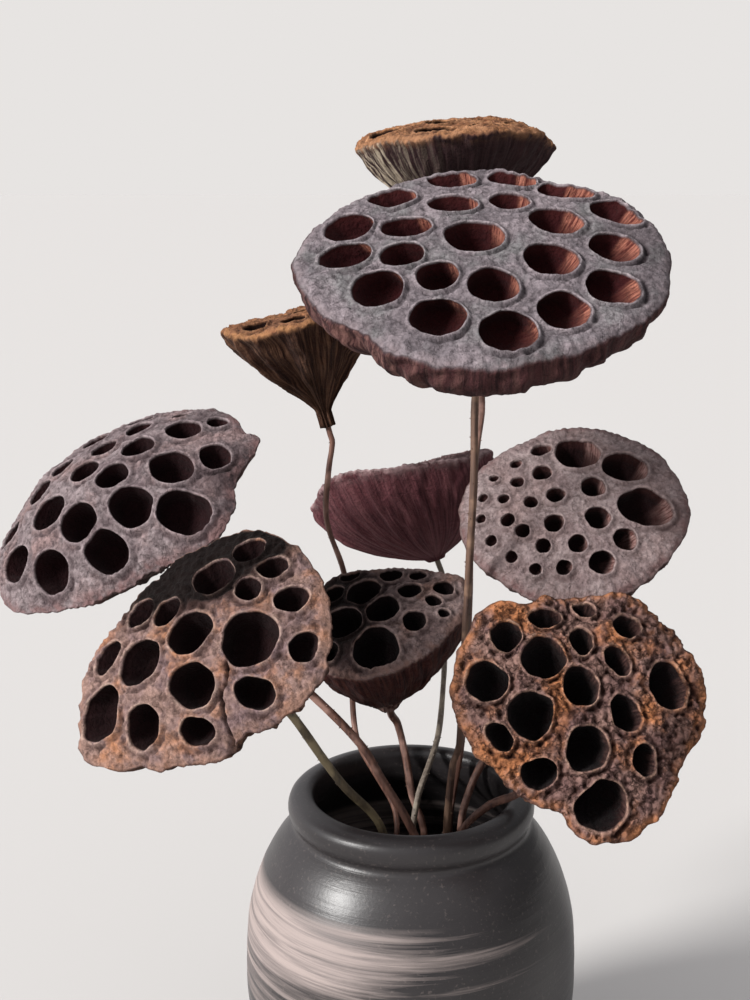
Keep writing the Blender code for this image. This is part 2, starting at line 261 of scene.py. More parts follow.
# Sizes are in mm and angles in degrees. A pod's face lies in (right, up) about its centre,
# and facing says how far it is turned and tipped up. Its outline is 12 radii anticlockwise
# from the right. A cell is (right, up, radius), and for an oval one also how long it is
# and which way it lies. nubs and bends raise the edge. The stains are dark blotches, and on
# the left front pod they are a painted shadow. Each cell's right-hand wall gets painted light.
TOP = dict(
    centre=(20, -20, 301), facing=(0, 60), dome=4, neck=(0, 0, 34), side=(1.9, 1.1),
    outline=(53, 56, 52.5, 52.5, 51, 52, 55, 51.5, 50, 48, 46.5, 50.5),
    cells=[(-8, 45, 7, 1.3, 5), (11, 45.5, 7, 1.3, 0), (-27, 33.5, 7.3, 1.15, 20),
           (-8.5, 28, 7, 1.3, 5), (9, 29.5, 6.2, 1.1, -10), (27, 38.5, 8.2, 1.25, -15),
           (-40, 16, 7.6, 1.1, 35), (-23, 14, 7.2, 1.25, 15), (-3, 7.5, 9, 1.06, 0),
           (22, 17.5, 8, 1.15, -15), (41.5, 25.5, 8, 1.2, -20), (-41, 0.5, 7.6, 1.2, 20),
           (-24.5, -1.5, 6.4, 1.1, 10), (-31.5, -16, 7.6, 1.04, 0), (-14.5, -12, 6.2, 1.05, 20),
           (1, -17, 7.6, 1.0, 0), (18.5, -4, 8.4, 1.0, 0), (38, 5, 7.8, 1.0, 0),
           (35, -15.5, 8, 1.05, -15), (-15, -29.8, 8.2, 1.0, 0), (4, -36, 8.2, 1.04, 20),
           (20, -26.5, 7.6, 1.1, 25)],
    seed=1, ragged=0.8, wobble=0.02, lip=0.15, groove=1.0, crust=0.65, ribs=22, rib_depth=1.9,
    flare=0.05, bellies=[(275, 38, 0.08)], painted_wall_light=1.0, nubs=[(223, 9, -3.5), (243, 6, -1)],
    bends=[(225, 22, -1.5)], pale=0.15, pale_sides=[(222, 22, 0.9)], band=0,
    stains_and_painted_shadow=[(47, 6, 13, 0.55), (44, -16, 9, 0.35), (6, -43, 9, 0.3), (-30, -34, 8, 0.2)])


def face_axes(facing):
    """(right, up, out) of a pod's face, from how far it is turned and tipped up."""
    turn, tip = (radians(x) for x in facing)
    out = Vector((sin(turn) * cos(tip), -cos(turn) * cos(tip), sin(tip)))
    right = Vector((cos(turn), sin(turn), 0))
    return right, out.cross(right), out


def beside(angle, at, width):
    """How near each angle is to a place on the edge: 1 there, and fading over a width in
    degrees."""
    away = (angle - radians(at) + pi) % (2 * pi) - pi
    return np.exp(-(away / radians(width)) ** 2)


def outline_at(pod, angle):
    """The face's radius at each angle, with the small tears and puckers of its edge."""
    radii = np.array(pod["outline"], float)
    place = (angle / (2 * pi) * len(radii)) % len(radii)
    i = place.astype(int)
    t = place - i
    a, b, c, d = (radii[(i + k) % len(radii)] for k in (-1, 0, 1, 2))
    smooth = b + t * (c - a + t * (2 * a - 5 * b + 4 * c - d + t * (3 * (b - c) + d - a))) / 2
    chance = np.random.default_rng(pod["seed"])
    torn = sum(np.sin(angle * k + chance.uniform(0, 2 * pi)) / (1 + k / 14)
               for k in (7, 11, 16, 23, 34, 47))
    for at, width, height in pod.get("nubs", ()):
        smooth = smooth + height * beside(angle, at, width)
    return smooth + pod["ragged"] * torn / 3


def soft_min(a, b, blend=0.8):
    """The smaller of two lengths, rounded off where they are nearly equal."""
    share = np.clip(0.5 + 0.5 * (b - a) / blend, 0, 1)
    return b + (a - b) * share - blend * share * (1 - share)


def cell_edges(pod, web=0.9, wall=1.7, steps=96):
    """Each cell's radius at even angles. A cell is flattened where it crowds a neighbour
    or the edge of the face, as the seeds are while they grow."""
    chance = np.random.default_rng(pod["seed"] + 50)
    around = np.arange(steps) * 2 * pi / steps
    edges = []
    for x, y, r, *oval in pod["cells"]:
        bumps = sum(size * np.cos(k * around + chance.uniform(0, 2 * pi))
                    for k, size in ((2, 0.4), (3, 0.6), (4, 0.4), (6, 0.3), (9, 0.2)))
        long, turn = oval or pod.get("oval", (1.0, 0))
        lean = around - radians(turn)
        edge = r / np.sqrt(np.cos(lean) ** 2 / long + np.sin(lean) ** 2 * long)
        edge = edge * (1 + pod["wobble"] * bumps)
        for other_x, other_y, other_r, *_ in pod["cells"]:
            apart = hypot(other_x - x, other_y - y)
            if 0 < apart < r + other_r + 4:
                reach = (apart ** 2 + r ** 2 - other_r ** 2) / (2 * apart) - web / 2
                toward = np.cos(around - np.arctan2(other_y - y, other_x - x))
                edge = soft_min(edge, np.where(toward > 0.1, reach / np.maximum(toward, 0.1), 99))
        for _ in range(4):
            px, py = x + edge * np.cos(around), y + edge * np.sin(around)
            over = np.hypot(px, py) + wall - outline_at(pod, np.arctan2(py, px))
            edge = np.maximum(edge - np.maximum(over, 0), 1.0)
        edges.append(edge)
    return around, edges


def past_cells(pod, edges, points):
    """How far each point lies outside the nearest cell, and that cell's number."""
    around, radii = edges
    gaps = []
    for (x, y, *_), edge in zip(pod["cells"], radii):
        offset = points - (x, y)
        angle = np.arctan2(offset[:, 1], offset[:, 0]) % (2 * pi)
        gaps.append(np.hypot(*offset.T) - np.interp(angle, around, edge, period=2 * pi))
    gaps = np.array(gaps)
    return gaps.min(axis=0), gaps.argmin(axis=0)


def past_outline(pod, points):
    """How far each point lies inside the face's edge."""
    return outline_at(pod, np.arctan2(points[:, 1], points[:, 0])) - np.hypot(*points.T)


def rough(points, size, octaves=3, seed=0, ridged=False):
    """Fractal noise at (x, y) or (x, y, z) points in mm, from about -1 to 1."""
    made = noise.ridged_multi_fractal if ridged else noise.fractal
    extra = (0.9, 2.1, octaves, 1.0, 2.0) if ridged else (1.0, 2.1, octaves)
    values = [made(Vector((*p[:2], p[2] if len(p) > 2 else 0)) / size
                   + Vector((0, 0, 7.3 * seed)), *extra) for p in points]
    return np.array(values) * (0.5 if ridged else 1.2) - (0.6 if ridged else 0)


def past_cracks(pod, points):
    """How far each point is from the nearest crack in the face, in mm."""
    away = np.full(len(points), 99.0)
    for crack in pod.get("cracks", ()):
        for a, b in zip(crack, crack[1:]):
            a, span = np.array(a), np.subtract(b, a)
            along = np.clip((points - a) @ span / (span @ span), 0, 1)
            away = np.minimum(away, np.hypot(*(points - a - along[:, None] * span).T))
    return away


def face_height(pod, edges, points):
    """Height of the face over its flat middle plane, in mm, and its painted shade and stains."""
    gap, nearest = past_cells(pod, edges, points)
    inset = past_outline(pod, points)
    share = np.hypot(*points.T) / np.maximum(np.hypot(*points.T) + inset, 1)
    gap, inset = np.maximum(gap, 0), np.maximum(inset, 0)
    swell = rough(points, 14, 2, pod["seed"] + 3)
    thick = 1 + 0.6 * rough(points, 4, 2, pod["seed"] + 8)

    # A lip stands up just outside each cell, with a groove beyond it. The groove is deepest
    # below and to the right of its cell, where the skin sagged.
    lip = pod["lip"] * thick * np.exp(-((gap - 0.2) / 0.36) ** 2)
    middles = np.array([cell[:2] for cell in pod["cells"]])[nearest]
    toward = np.arctan2(*(points - middles).T[::-1])
    shady = 0.45 + 0.75 * np.clip(np.cos(toward + 0.7), 0, 1)
    sunk = shady * np.exp(-((gap - 1.35) / 0.8) ** 2) * np.clip(inset / 2, 0, 1)

    # The skin between them is puckered, and pleated near the edge
    puckers = rough(points, 3.2, 4, pod["seed"], ridged=True) * np.clip(gap / 1.2, 0.2, 1)
    puckers += 0.55 * rough(points, 1.5, 3, pod["seed"] + 1) * np.clip(gap / 0.8, 0.3, 1)
    split = np.exp(-(past_cracks(pod, points) / 0.45) ** 2)
    angle = np.arctan2(points[:, 1], points[:, 0])
    pleats = np.sin(angle * pod["ribs"] * 3 + 3 * swell) * np.clip((share - 0.72) / 0.25, 0, 1)
    height = pod["dome"] * (1 - share ** 2) + lip - pod["groove"] * sunk
    height += pod["crust"] * puckers + 0.9 * swell * pod.get("swell", 1)
    height += 0.22 * pleats * pod.get("pleats", 1) - 2.2 * split
    height -= 0.8 * np.clip(1 - inset / 1.4, 0, 1) ** 2 - pod.get("lift", 0)
    for at, width, rise in pod.get("bends", ()):
        height += rise * beside(angle, at, width) * share ** 2
    for x, y, size, rise in pod.get("lumps", ()):
        height += rise * np.exp(-((points - (x, y)) ** 2).sum(axis=1) / size ** 2)

    # low is painted shade: it darkens the grooves, most below and to the right of each cell where
    # the shade falls, and the hollows of the puckers and the cracks.
    low = 0.6 * sunk * min(1, pod["groove"] / 0.5) - 0.7 * puckers * pod["crust"] + split
    low = np.clip(low, 0, 1)
    # Dark blotches darken the face further; on the left front pod they are a painted shadow.
    for x, y, size, dark in pod.get("stains_and_painted_shadow", ()):
        blotch = np.exp(-(((points - (x, y)) ** 2).sum(axis=1) / size ** 2) ** 2)
        low += dark * blotch * (1 + 0.35 * puckers)
    return height, np.clip(low, 0, 2)


def face_layout(pod, edges, step):
    """Flat points for the face: its edge, each cell's edge, rings beside both, and a fill."""
    around = 2 * pi * sum(pod["outline"]) / len(pod["outline"])
    turns = np.arange(round(around / step)) * 2 * pi / round(around / step)
    rim = outline_at(pod, turns)
    loops = [np.stack([rim * np.cos(turns), rim * np.sin(turns)], axis=1)]
    extra = []
    for inset in (0.45, 1.0, 1.7, 2.5):
        ring = (rim - inset)[:, None] * np.stack([np.cos(turns), np.sin(turns)], axis=1)
        extra.append(ring[past_cells(pod, edges, ring)[0] > 0.4])
    for number, (x, y, r, *_) in enumerate(pod["cells"]):
        count = max(14, round(2 * pi * r / (0.9 * step)))
        spots = np.arange(count) * 2 * pi / count
        radius = np.interp(spots, edges[0], edges[1][number], period=2 * pi)
        loops.append(np.stack([x + radius * np.cos(spots), y + radius * np.sin(spots)], axis=1))
        for k, out in enumerate((0.25, 0.55, 0.9, 1.3, 1.8, 2.4)):
            spun = spots + (k % 2) * pi / count
            radius = np.interp(spun, edges[0], edges[1][number], period=2 * pi) + out
            ring = np.stack([x + radius * np.cos(spun), y + radius * np.sin(spun)], axis=1)
            gap, nearest = past_cells(pod, edges, ring)
            extra.append(ring[(nearest == number) & (past_outline(pod, ring) > 0.5)])
    for crack in pod.get("cracks", ()):
        for a, b in zip(crack, crack[1:]):
            side = np.array([a[1] - b[1], b[0] - a[0]]) / hypot(b[0] - a[0], b[1] - a[1])
            line = np.linspace(a, b, max(2, round(hypot(b[0] - a[0], b[1] - a[1]) / 0.4)))
            beside = np.concatenate([line + side * off for off in (-0.7, -0.35, 0, 0.35, 0.7)])
            inside = (past_cells(pod, edges, beside)[0] > 0.4) & (past_outline(pod, beside) > 0.5)
            extra.append(beside[inside])
    reach = max(pod["outline"]) + 8
    lines = np.arange(-reach, reach, step * 1.1)
    grid = np.array([(x + (k % 2) * step * 0.55, y) for k, y in enumerate(lines * 0.9)
                     for x in lines])
    grid += np.random.default_rng(pod["seed"]).uniform(-0.15, 0.15, grid.shape) * step
    open_ = (past_cells(pod, edges, grid)[0] > 2.7) & (past_outline(pod, grid) > 3)
    extra = np.concatenate([*extra, grid[open_]])
    _, keep = np.unique(np.round(extra / (0.4 * step)), axis=0, return_index=True)
    return loops, extra[np.sort(keep)]


def face_triangles(pod, edges, loops, extra):
    """Joins the face's points into triangles that leave the cells open."""
    flat = np.concatenate([*loops, extra])
    starts = np.cumsum([0] + [len(loop) for loop in loops])
    borders = [(a + i, a + (i + 1) % (b - a)) for a, b in zip(starts, starts[1:])
               for i in range(b - a)]
    made = delaunay_2d_cdt([Vector(p) for p in flat], borders, [], 0, 1e-6, True)
    points = np.array([tuple(p) for p in made[0]])
    triangles = np.array([f for f in made[2] if len(f) == 3])
    middles = points[triangles].mean(axis=1)
    kept = (past_cells(pod, edges, middles)[0] > 0) & (past_outline(pod, middles) > 0)
    source = {ids[0]: i for i, ids in enumerate(made[3]) if ids}
    new_loops = [[source[i] for i in range(a, b)] for a, b in zip(starts, starts[1:])]
    return points, triangles[kept], new_loops


def well(pod, number, mouth, chance):
    """Rings of a cell's wall below its mouth, leaning in towards the neck, with the depth
    of each in mm, and then the point at its bottom, with its depth."""
    x, y, r = pod["cells"][number][:3]
    right, up, depth = pod["neck"]
    apex = np.array((right, up, -depth * 1.35))
    middle = mouth.mean(axis=0)
    length = np.linalg.norm(apex - middle)
    deep = min(13, 2.3 * r) * (1 - 0.3 * hypot(x, y) / max(pod["outline"]))
    turns = np.arange(len(mouth)) * 2 * pi / len(mouth)
    folds = sum(np.cos(k * turns + chance.uniform(0, 2 * pi)) for k in (5, 8, 13)) / 3
    rings = []
    for t in (0.03, 0.07, 0.13, 0.21, 0.3, 0.4, 0.5, 0.6, 0.69, 0.77, 0.85, 0.92, 0.97):
        down = t * deep
        swell = 1 - 0.035 * np.exp(-((down - 0.5) / 0.5) ** 2)
        swell = swell * (1 + 0.022 * folds * np.clip(down / 2, 0, 1))
        swell = swell * np.sqrt(1 - max(0, (t - 0.62) / 0.38) ** 2)
        axis = middle + (apex - middle) * down / length
        ring = axis + (mouth - middle) * ((1 - down / length) * swell)[:, None]
        rings.append((ring, down))
    return rings, middle + (apex - middle) * deep / length, deep


def funnel(pod, rim, angles, steps=38):
    """Rings of the pod's underside from the edge of its face to the neck, with the depth
    of each, in mm. They are closest together just below the edge."""
    power_in, power_out = pod["side"]
    right, up, depth = pod["neck"]
    chance = np.random.default_rng(pod["seed"] + 90)
    rings = []
    for k in range(1, steps + 1):
        t = (k / steps) ** 1.35
        share = (1 - t ** power_in) ** power_out
        bulge = sin(pi * min(t / 0.7, 1))
        share += pod.get("flare", 0) * bulge
        for at, width, more in pod.get("bellies", ()):
            share = share + more * beside(angles, at, width) * bulge
        radius = np.maximum(np.hypot(rim[:, 0], rim[:, 1]) * share, pod.get("neck_r", 3.2))
        spots = np.stack([np.cos(angles), np.sin(angles), np.full(len(angles), 2.2 * t)], axis=1)
        wander = rough(spots * 9, 5, 2, pod["seed"])
        phase = pod["ribs"] * angles / 2 + 1.1 * wander + chance.uniform(0, 0.02)
        ridge = 1 - np.abs(np.sin(phase)) * 1.6 + 0.35 * np.sin(3.1 * phase)
        crease = rough(spots * 26 * (1, 1, 0.25), 3, 3, pod["seed"] + 5)
        fade = np.clip(radius / 12, 0, 1) * np.clip(t * 9, 0, 1)
        radius = radius + fade * (pod["rib_depth"] * (ridge - 0.3) * 0.6 + 0.55 * crease)
        radius += 0.7 * np.exp(-((t - 0.03) / 0.03) ** 2)
        collar = pod.get("collar", 0) * np.exp(-((t - 0.94) / 0.035) ** 2)
        x = (radius + collar) * np.cos(angles) + t ** 2 * right
        y = (radius + collar) * np.sin(angles) + t ** 2 * up
        rings.append((np.stack([x, y, rim[:, 2] * (1 - t) - depth * t], axis=1), t * depth))
    return rings


def grow_pod(pod, name, material, step=0.85):
    """A closed mesh of one pod, with attributes that its material reads. lip, inside,
    side and edge say where a spot is, from 0 to 1. tint is the painted shade, stains and
    painted shadow on the face, how pale its ribs are below, and the painted light on a
    cell's wall. run is the grain, in cm."""
    edges = cell_edges(pod)
    points, triangles, loops = face_triangles(pod, edges, *face_layout(pod, edges, step))
    height, low = face_height(pod, edges, points)
    verts = [np.column_stack([points, height])]
    gap = np.maximum(past_cells(pod, edges, points)[0], 0)
    inset = np.maximum(past_outline(pod, points), 0)
    zero = np.zeros(len(points))
    marks = [np.column_stack([np.exp(-(gap / 0.33) ** 2), zero, zero, np.exp(-(inset / 1.7) ** 2),
                              low, points[:, 0] / 10, points[:, 1] / 10])]
    faces = [tuple(t) for t in triangles]
    total = len(points)
    chance = np.random.default_rng(pod["seed"] + 20)

    def join(upper, ring, flags):
        """Adds a ring of points below the last, with quads between the two."""
        nonlocal total
        count = len(upper)
        lower = list(range(total, total + count))
        verts.append(ring)
        marks.append(flags)
        total += count
        for i in range(count):
            j = (i + 1) % count
            faces.append((upper[i], upper[j], lower[j], lower[i]))
        return lower

    def close(ring, point, flags):
        """Closes the last ring with triangles that meet at one point."""
        nonlocal total
        verts.append(np.array([point]))
        marks.append(np.array([flags]))
        faces.extend((ring[i], ring[(i + 1) % len(ring)], total) for i in range(len(ring)))
        total += 1

    for number, loop in enumerate(loops[1:]):
        rings, bottom, deep = well(pod, number, verts[0][loop], chance)
        length = np.arange(len(loop)) / len(loop) * 2 * pi * pod["cells"][number][2] / 10
        none = np.zeros(len(loop))
        # Painted light: the right-hand wall of each cell is painted lighter near its mouth, where
        # the light falls.
        turned = np.arange(len(loop)) * 2 * pi / len(loop) + chance.uniform(-0.35, 0.35)
        painted_wall_light_share = np.clip(np.cos(turned) * 6 - 3.6, 0, 1) * pod.get("painted_wall_light", 0.2)
        for ring, down in rings:
            flags = np.column_stack([none + np.exp(-(down / 0.5) ** 2),
                                     none + min(1, down / 7), none, none,
                                     painted_wall_light_share * np.exp(-(down / 7) ** 2),
                                     length + number, none + down / 10])
            loop = join(loop, ring, flags)
        close(loop, bottom, (0, 1, 0, 0, 0, number, deep / 10))

    rim = loops[0]
    angles = np.arange(len(rim)) * 2 * pi / len(rim)
    right, up, depth = pod["neck"]
    none = np.zeros(len(rim))
    pale = none + pod.get("pale", 0.5)
    for at, width, more in pod.get("pale_sides", ()):
        pale = pale + more * beside(angles, at, width)
    for ring, down in funnel(pod, verts[0][rim], angles):
        band = pod.get("band", 0.25) * np.exp(-(down / pod.get("deep", 1.3)) ** 2)
        collar = pod.get("collar", 0) * (down > 0.86 * depth)
        rim = join(rim, ring, np.column_stack([
            none, none, none + min(1, down / 0.8), none + band + collar, pale, angles * 4.0,
            none + down / 10]))
    close(rim, (right, up, -depth), (0, 0, 1, 0, 0, 0, depth / 10))

    axes = np.array([tuple(axis) for axis in face_axes(pod["facing"])])
    world = (np.concatenate(verts) @ axes + pod["centre"]) * MM
    mesh = bpy.data.meshes.new(name)
    mesh.from_pydata(world.tolist(), [], faces)
    marks = np.concatenate(marks)
    for key, column in zip(("lip", "inside", "side", "edge", "tint"), marks.T):
        mesh.attributes.new(key, "FLOAT", "POINT").data.foreach_set("value", column)
    run = np.column_stack([marks[:, 5:7], np.zeros(len(marks))])
    mesh.attributes.new("run", "FLOAT_VECTOR", "POINT").data.foreach_set("vector", run.ravel())
    made = bmesh.new()
    made.from_mesh(mesh)
    bmesh.ops.recalc_face_normals(made, faces=made.faces)
    made.to_mesh(mesh)
    made.free()
    mesh.shade_smooth()
    mesh.materials.append(material)
    piece = bpy.data.objects.new(name, mesh)
    bpy.context.scene.collection.objects.link(piece)
    return piece


def pod_skin(name, skin, stain, lip, edge, side, rib, wall, pit, grain=1.0, worn=0.5, crag=0.25):
    """Dried lotus receptacle, air-dried: a felted, leathery skin in two shades with
    patches of stain, thin pale lips, streaky ribs below, and red brown cells. Painted shade
    darkens the face's grooves and crevices and turns each cell black towards its bottom, and
    the wall colours paint light on each cell's right-hand wall. worn is how much of the
    stain shows (less is more), and crag how deeply it cracked and how dark its crevices are
    painted."""
    material, tree = new_material(name)
    place = add(tree, "ShaderNodeTexCoord").outputs["Object"]
    marks = {key: add(tree, "ShaderNodeAttribute", attribute_name=key).outputs["Fac"]
             for key in ("lip", "inside", "side", "edge", "tint")}
    run = add(tree, "ShaderNodeAttribute", attribute_name="run").outputs["Vector"]
    ribs = add(tree, "ShaderNodeMapping", {"Vector": run, "Scale": (3.2, 0.35, 1.0)})
    ribs = ribs.outputs["Vector"]
    folds = add(tree, "ShaderNodeMapping", {"Vector": run, "Scale": (7.0, 0.8, 1.0)})

    # Patches: how many to a metre, or along the grain, and the levels where each shows
    patch = {}
    for key, vector, scale, detail, low, high in (
            ("shade", place, 1000 / 9, 4.0, 0.4, 0.62),
            ("stain", place, 1000 / 14, 4.0, worn, worn + 0.16),
            ("fibres", place, 1000 / (0.9 * grain), 6.0, 0.4, 0.64),
            ("pits", place, 1000 / (2.0 * grain), 5.0, 0.5, 0.66),
            ("lips", place, 1000 / 3, 4.0, 0.42, 0.8),
            ("tears", place, 1000 / 5, 4.0, 0.4, 0.6),
            ("streaks", ribs, 3.0, 5.0, 0.4, 0.62),
            ("crests", ribs, 1.6, 5.0, 0.46, 0.6),
            ("folds", folds.outputs["Vector"], 2.0, 4.0, 0.38, 0.62)):
        mottle = add(tree, "ShaderNodeTexNoise", {"Vector": vector, "Scale": scale,
                                                  "Detail": detail, "Roughness": 0.6})
        patch[key] = add(tree, "ShaderNodeMapRange", {"Value": mottle.outputs["Fac"],
                                                      "From Min": low, "From Max": high})
        patch[key] = patch[key].outputs["Result"]

    # Crevices some 4 mm apart, where the skin drew together: thin lines along one noise level,
    # pressed in by the bump and darkened in colour as painted shade
    drawn = add(tree, "ShaderNodeTexNoise", {"Vector": place, "Scale": 1000 / (5.5 * grain),
                                             "Detail": 6.0, "Roughness": 0.62})
    drawn = add(tree, "ShaderNodeMath", {0: drawn.outputs["Fac"], 1: 0.5}, operation="SUBTRACT")
    drawn = add(tree, "ShaderNodeMath", {0: drawn.outputs[0]}, operation="ABSOLUTE")
    crevices = add(tree, "ShaderNodeMapRange", {"Value": drawn.outputs[0], "From Max": 0.035,
                                                "To Min": crag, "To Max": 0.0})
    crevices = crevices.outputs["Result"]

    speckle = add(tree, "ShaderNodeMath", {0: patch["fibres"], 1: 0.36}, operation="MULTIPLY")
    speckle = add(tree, "ShaderNodeMath", {0: patch["pits"], 1: 0.45, 2: speckle.outputs[0]},
                  operation="MULTIPLY_ADD", use_clamp=True).outputs[0]
    # Painted shade and stains: the face darkens by tint, which holds the painted shade of the
    # grooves, pucker hollows and cracks, and the dark blotches.
    painted_shade_and_stains = add(tree, "ShaderNodeMath", {0: marks["tint"], 1: 0.0}, operation="ADD",
                 use_clamp=True).outputs[0]
    thin = add(tree, "ShaderNodeMath", {0: marks["lip"], 1: patch["lips"]},
               operation="MULTIPLY").outputs[0]
    torn = add(tree, "ShaderNodeMath", {0: marks["edge"], 1: patch["tears"]},
               operation="MULTIPLY").outputs[0]
    crest = add(tree, "ShaderNodeMath", {0: patch["crests"], 1: marks["tint"]},
                operation="MULTIPLY").outputs[0]
    # Near black where tint passes 0.9: the darkest blotches, and on the left front pod a painted
    # shadow.
    blotch_and_painted_shadow = add(tree, "ShaderNodeMapRange", {"Value": marks["tint"], "From Min": 0.9,
                                              "From Max": 1.8}).outputs["Result"]
    # Painted shade: each cell darkens to black towards its bottom, except under the painted light
    # on its right-hand wall.
    fade = add(tree, "ShaderNodeMapRange", {"Value": marks["inside"], "From Min": 0.1,
                                            "From Max": 0.6})
    fade = add(tree, "ShaderNodeMath", {0: fade.outputs["Result"], 1: marks["tint"]},
               operation="SUBTRACT", use_clamp=True).outputs[0]
    into = add(tree, "ShaderNodeMapRange", {"Value": marks["inside"], "From Min": 0.03,
                                            "From Max": 0.16}).outputs["Result"]

    # Coats of colour in the order that they lie: the face, with painted shade in its grooves
    # and crevices; the funnel; and the cells, which are red brown with streaked painted light on
    # the right-hand wall near the mouth, and painted shade that turns them black at the bottom
    face, under, cell = tone(skin[0]), tone(side[0]), tone(pit)
    for mask, code in ((patch["shade"], skin[1]), (patch["stain"], stain), (speckle, skin[2]),
                       (crevices, skin[2]), (painted_shade_and_stains, skin[2]), (thin, lip), (torn, edge),
                       (blotch_and_painted_shadow, "#0f0706")):
        face = add(tree, "ShaderNodeMix", {"Factor": mask, "A": face, "B": tone(code)},
                   data_type="RGBA").outputs["Result"]
    for mask, code in ((patch["streaks"], side[1]), (crest, rib), (torn, edge)):
        under = add(tree, "ShaderNodeMix", {"Factor": mask, "A": under, "B": tone(code)},
                    data_type="RGBA").outputs["Result"]
    painted_wall_light_colour = add(tree, "ShaderNodeMix", {"Factor": patch["folds"], "A": tone(wall[0]),
                                           "B": tone(wall[1])}, data_type="RGBA")
    for mask, coat in ((0.3, tone(wall[1])), (marks["tint"], painted_wall_light_colour.outputs["Result"]),
                       (fade, tone(pit))):
        cell = add(tree, "ShaderNodeMix", {"Factor": mask, "A": cell, "B": coat},
                   data_type="RGBA").outputs["Result"]
    colour = add(tree, "ShaderNodeMix", {"Factor": marks["side"], "A": face, "B": under},
                 data_type="RGBA").outputs["Result"]
    colour = add(tree, "ShaderNodeMix", {"Factor": into, "A": colour, "B": cell},
                 data_type="RGBA").outputs["Result"]

    # Relief: puckered hide, felt, pores, grooves along the ribs, and the crevices
    felt = add(tree, "ShaderNodeTexNoise", {"Vector": place, "Scale": 1000 / (0.5 * grain),
                                            "Detail": 6.0, "Roughness": 0.7}).outputs["Fac"]
    hide = add(tree, "ShaderNodeTexNoise", {"Vector": place, "Scale": 1000 / (1.8 * grain),
                                            "Detail": 6.0, "Roughness": 0.62}).outputs["Fac"]
    pores = add(tree, "ShaderNodeTexVoronoi", {"Vector": place, "Scale": 1000 / (1.1 * grain)})
    grooves = add(tree, "ShaderNodeTexNoise", {"Vector": ribs, "Scale": 9.0, "Detail": 4.0})
    grooves = add(tree, "ShaderNodeMath", {0: grooves.outputs["Fac"], 1: marks["side"]},
                  operation="MULTIPLY").outputs[0]
    closed = add(tree, "ShaderNodeMath", {0: 1.0, 1: crevices}, operation="SUBTRACT").outputs[0]
    relief = add(tree, "ShaderNodeNewGeometry").outputs["Normal"]
    for height, strength, depth_mm in ((hide, 0.8, 1.2), (felt, 0.7, 0.5),
                                       (pores.outputs["Distance"], 0.4, 0.5),
                                       (grooves, 0.6, 0.6), (closed, 0.8, 0.9)):
        relief = add(tree, "ShaderNodeBump", {"Height": height, "Strength": strength,
                                              "Distance": depth_mm * MM, "Normal": relief})
        relief = relief.outputs["Normal"]
    dull = add(tree, "ShaderNodeMapRange", {"Value": felt, "To Min": 0.7, "To Max": 0.95})
    shader = add(tree, "ShaderNodeBsdfPrincipled",
                 {"Base Color": colour, "Roughness": dull.outputs["Result"], "IOR": 1.45,
                  "Specular IOR Level": 0.08, "Sheen Weight": 0.02, "Sheen Roughness": 0.5,
                  "Normal": relief})
    add(tree, "ShaderNodeOutputMaterial", {"Surface": shader.outputs["BSDF"]})
    return material


top_skin = pod_skin("felted lotus skin, grey mauve", skin=("#8e8387", "#726a6e", "#373033"),
                    stain="#7d7a7b", lip="#aa9da0", edge="#7d7174", side=("#432829", "#281718"),
                    rib="#7c5a54", wall=("#9d6655", "#4c211e"), pit="#2c0d0f")
top_pod = grow_pod(TOP, "pod_top_grown", top_skin)
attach(top_pod, "root")
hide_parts("pod_top")

# ------------------------------------------------------------------------------------
# The pod behind the top one, seen edge on. Its face is broken down to a crumbling orange
# rim, and the skin has split along its ribs on one side, which leaves pale fibres.

TOP_BEHIND = dict(
    centre=(15, 62, 339), facing=(-40, 84), dome=2, neck=(0, 0, 34), side=(1.6, 1.2),
    outline=(34, 33, 34, 36, 34, 32, 35, 33, 32, 33, 35, 36),
    cells=[(24 * cos(radians(10 + 40 * k)), 24 * sin(radians(10 + 40 * k)), 6)
           for k in range(9)]
    + [(9 * cos(radians(40 + 120 * k)), 9 * sin(radians(40 + 120 * k)), 5.5) for k in range(3)],
    seed=2, ragged=1.3, wobble=0.08, lip=0.5, groove=0.6, crust=1.1, ribs=34, rib_depth=1.1,
    bends=[(220, 40, -4), (40, 34, -8)], nubs=[(40, 12, 0.5), (218, 10, 1)], lift=2.5,
    pale=0.0, pale_sides=[(235, 36, 1.2)], band=1, deep=1.8)

top_behind_skin = pod_skin(
    "split lotus skin, orange rim", skin=("#a5744f", "#7c5138", "#34201a"), stain="#b58460",
    lip="#b08668", edge="#926a4e", side=("#2a1a1c", "#3b292a"), rib="#b8aa96",
    wall=("#8a5a44", "#3a201a"), pit="#180d0b")
top_behind_pod = grow_pod(TOP_BEHIND, "pod_top_behind_grown", top_behind_skin)
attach(top_behind_pod, "root")
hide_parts("pod_top_behind")

# ------------------------------------------------------------------------------------
# The funnel, a narrow pod seen from the side. It dried before it was full grown, so the
# skin drew in between broad flutes that run together at a thin pale neck.

FUNNEL = dict(
    centre=(-37, 45, 274), facing=(-90, 75), dome=2, neck=(0, 0, 34), side=(1.6, 1.6),
    outline=(27, 26, 28, 27, 26, 28, 27, 26, 25.5, 26, 25.5, 26),
    cells=[(18.5 * cos(radians(45 * k)), 18.5 * sin(radians(45 * k)), 4.6) for k in range(8)]
    + [(7 * cos(radians(30 + 120 * k)), 7 * sin(radians(30 + 120 * k)), 4) for k in range(3)],
    seed=3, ragged=0.8, wobble=0.08, lip=0.7, groove=0.5, crust=0.8, ribs=12, rib_depth=3.4,
    lift=4.5, bends=[(270, 50, 3)], pale=0.5, band=0.8, deep=0.9, neck_r=2.6)

